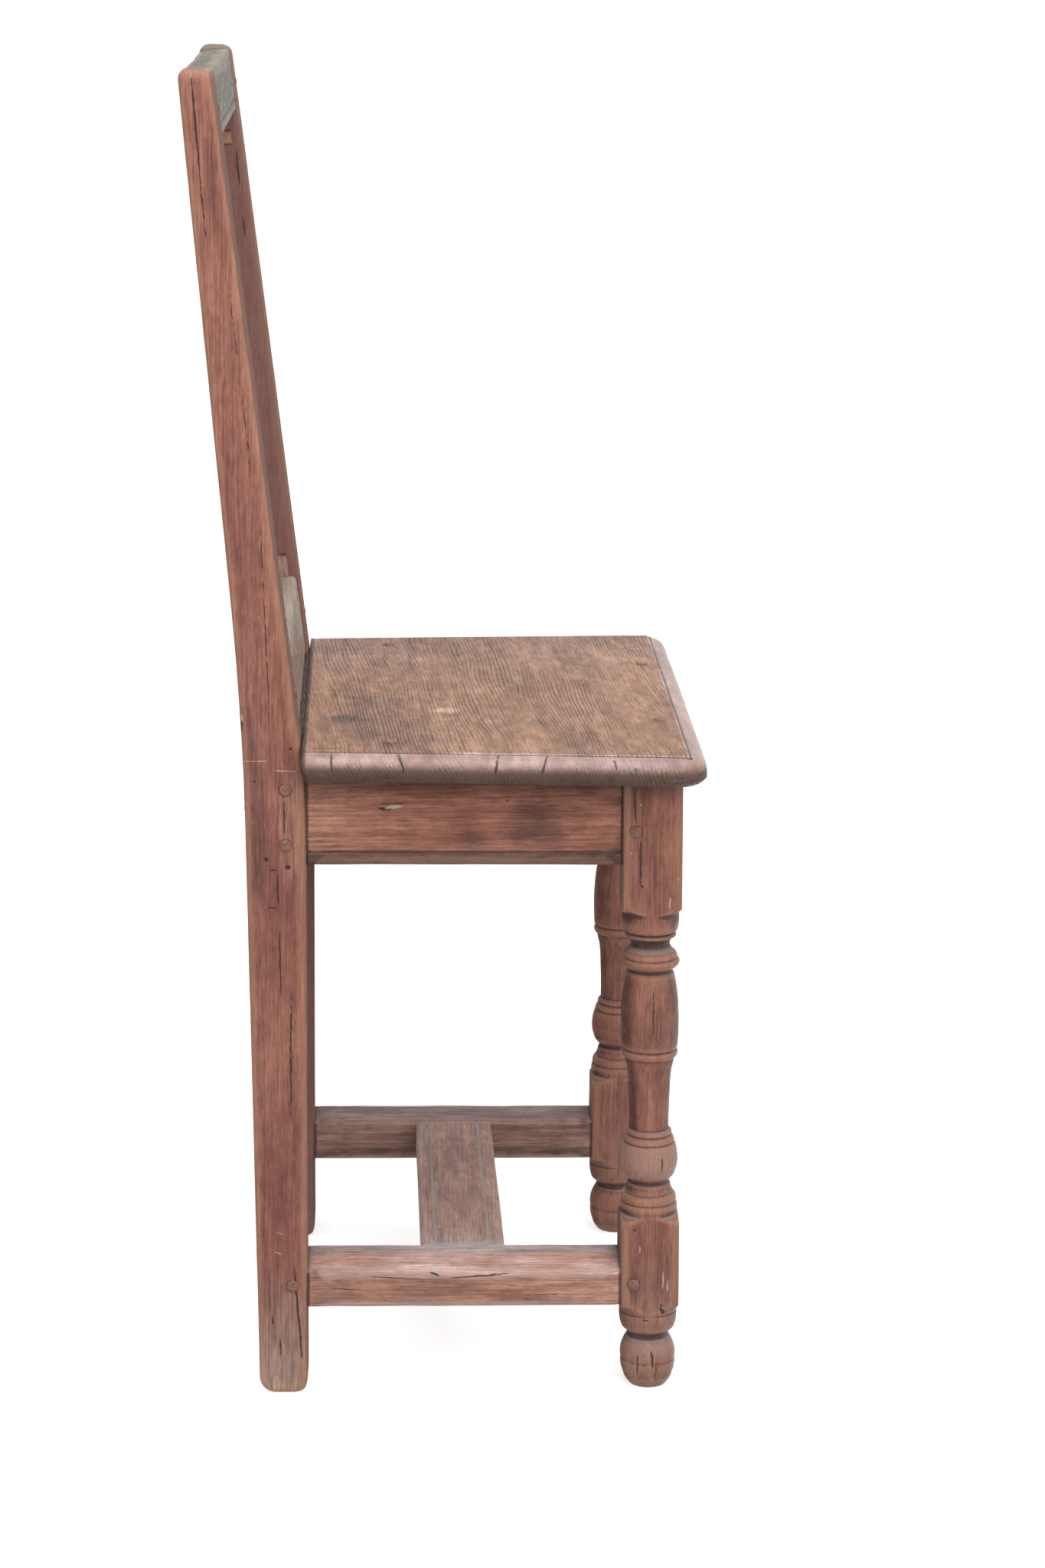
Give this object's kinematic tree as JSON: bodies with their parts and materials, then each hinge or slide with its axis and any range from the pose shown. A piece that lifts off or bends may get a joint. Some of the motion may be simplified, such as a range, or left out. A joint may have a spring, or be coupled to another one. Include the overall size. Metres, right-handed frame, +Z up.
{
  "type": "joined side chair",
  "caption": "Joined oak side chair: plank seat, raked open back with plain top and lower rails, turned front legs on ball feet, square rear posts and low stretchers in an H.",
  "frame": {"origin": "on the floor, under the middle of the chair's bounding box", "axes": "+Z up, +X towards the sitter's left, +Y towards the chair's back; the chair faces -Y"},
  "size_m": [0.4606, 0.3844, 1],
  "materials": {
    "post_oak": "aged wax over oak, worn edges",
    "leg_oak": "aged wax over turned oak, dusty hollows",
    "rail_oak": "aged wax over oak",
    "stretcher_oak": "dull worn oak with dust",
    "seat_oak": "dry greyish brown oak, satin wear",
    "back_rail_oak": "greyish oak, satin",
    "peg_oak": "riven end grain, greyish",
    "scrap_wood": "pale bare wood"
  },
  "bodies": {
    "root": {"right_rear_post": "post_oak", "left_rear_post": "post_oak", "right_front_leg": "leg_oak", "left_front_leg": "leg_oak", "right_seat_rail": "rail_oak", "left_seat_rail": "rail_oak", "front_seat_rail": "rail_oak", "rear_seat_rail": "rail_oak", "right_side_stretcher": "stretcher_oak", "left_side_stretcher": "stretcher_oak", "medial_stretcher": "stretcher_oak", "seat_board": "seat_oak", "top_rail": "back_rail_oak", "lower_back_rail": "back_rail_oak", "top_mortise_scraps": "scrap_wood", "lower_mortise_scraps": "scrap_wood", "leg_seat_rail_pegs": "peg_oak", "post_seat_rail_pegs": "peg_oak", "front_rail_pegs": "peg_oak", "rear_rail_pegs": "peg_oak", "leg_stretcher_pegs": "peg_oak", "post_stretcher_pegs": "peg_oak", "top_rail_pegs": "peg_oak", "lower_back_rail_pegs": "peg_oak", "seat_pegs": "peg_oak"}
  },
  "joints": []
}
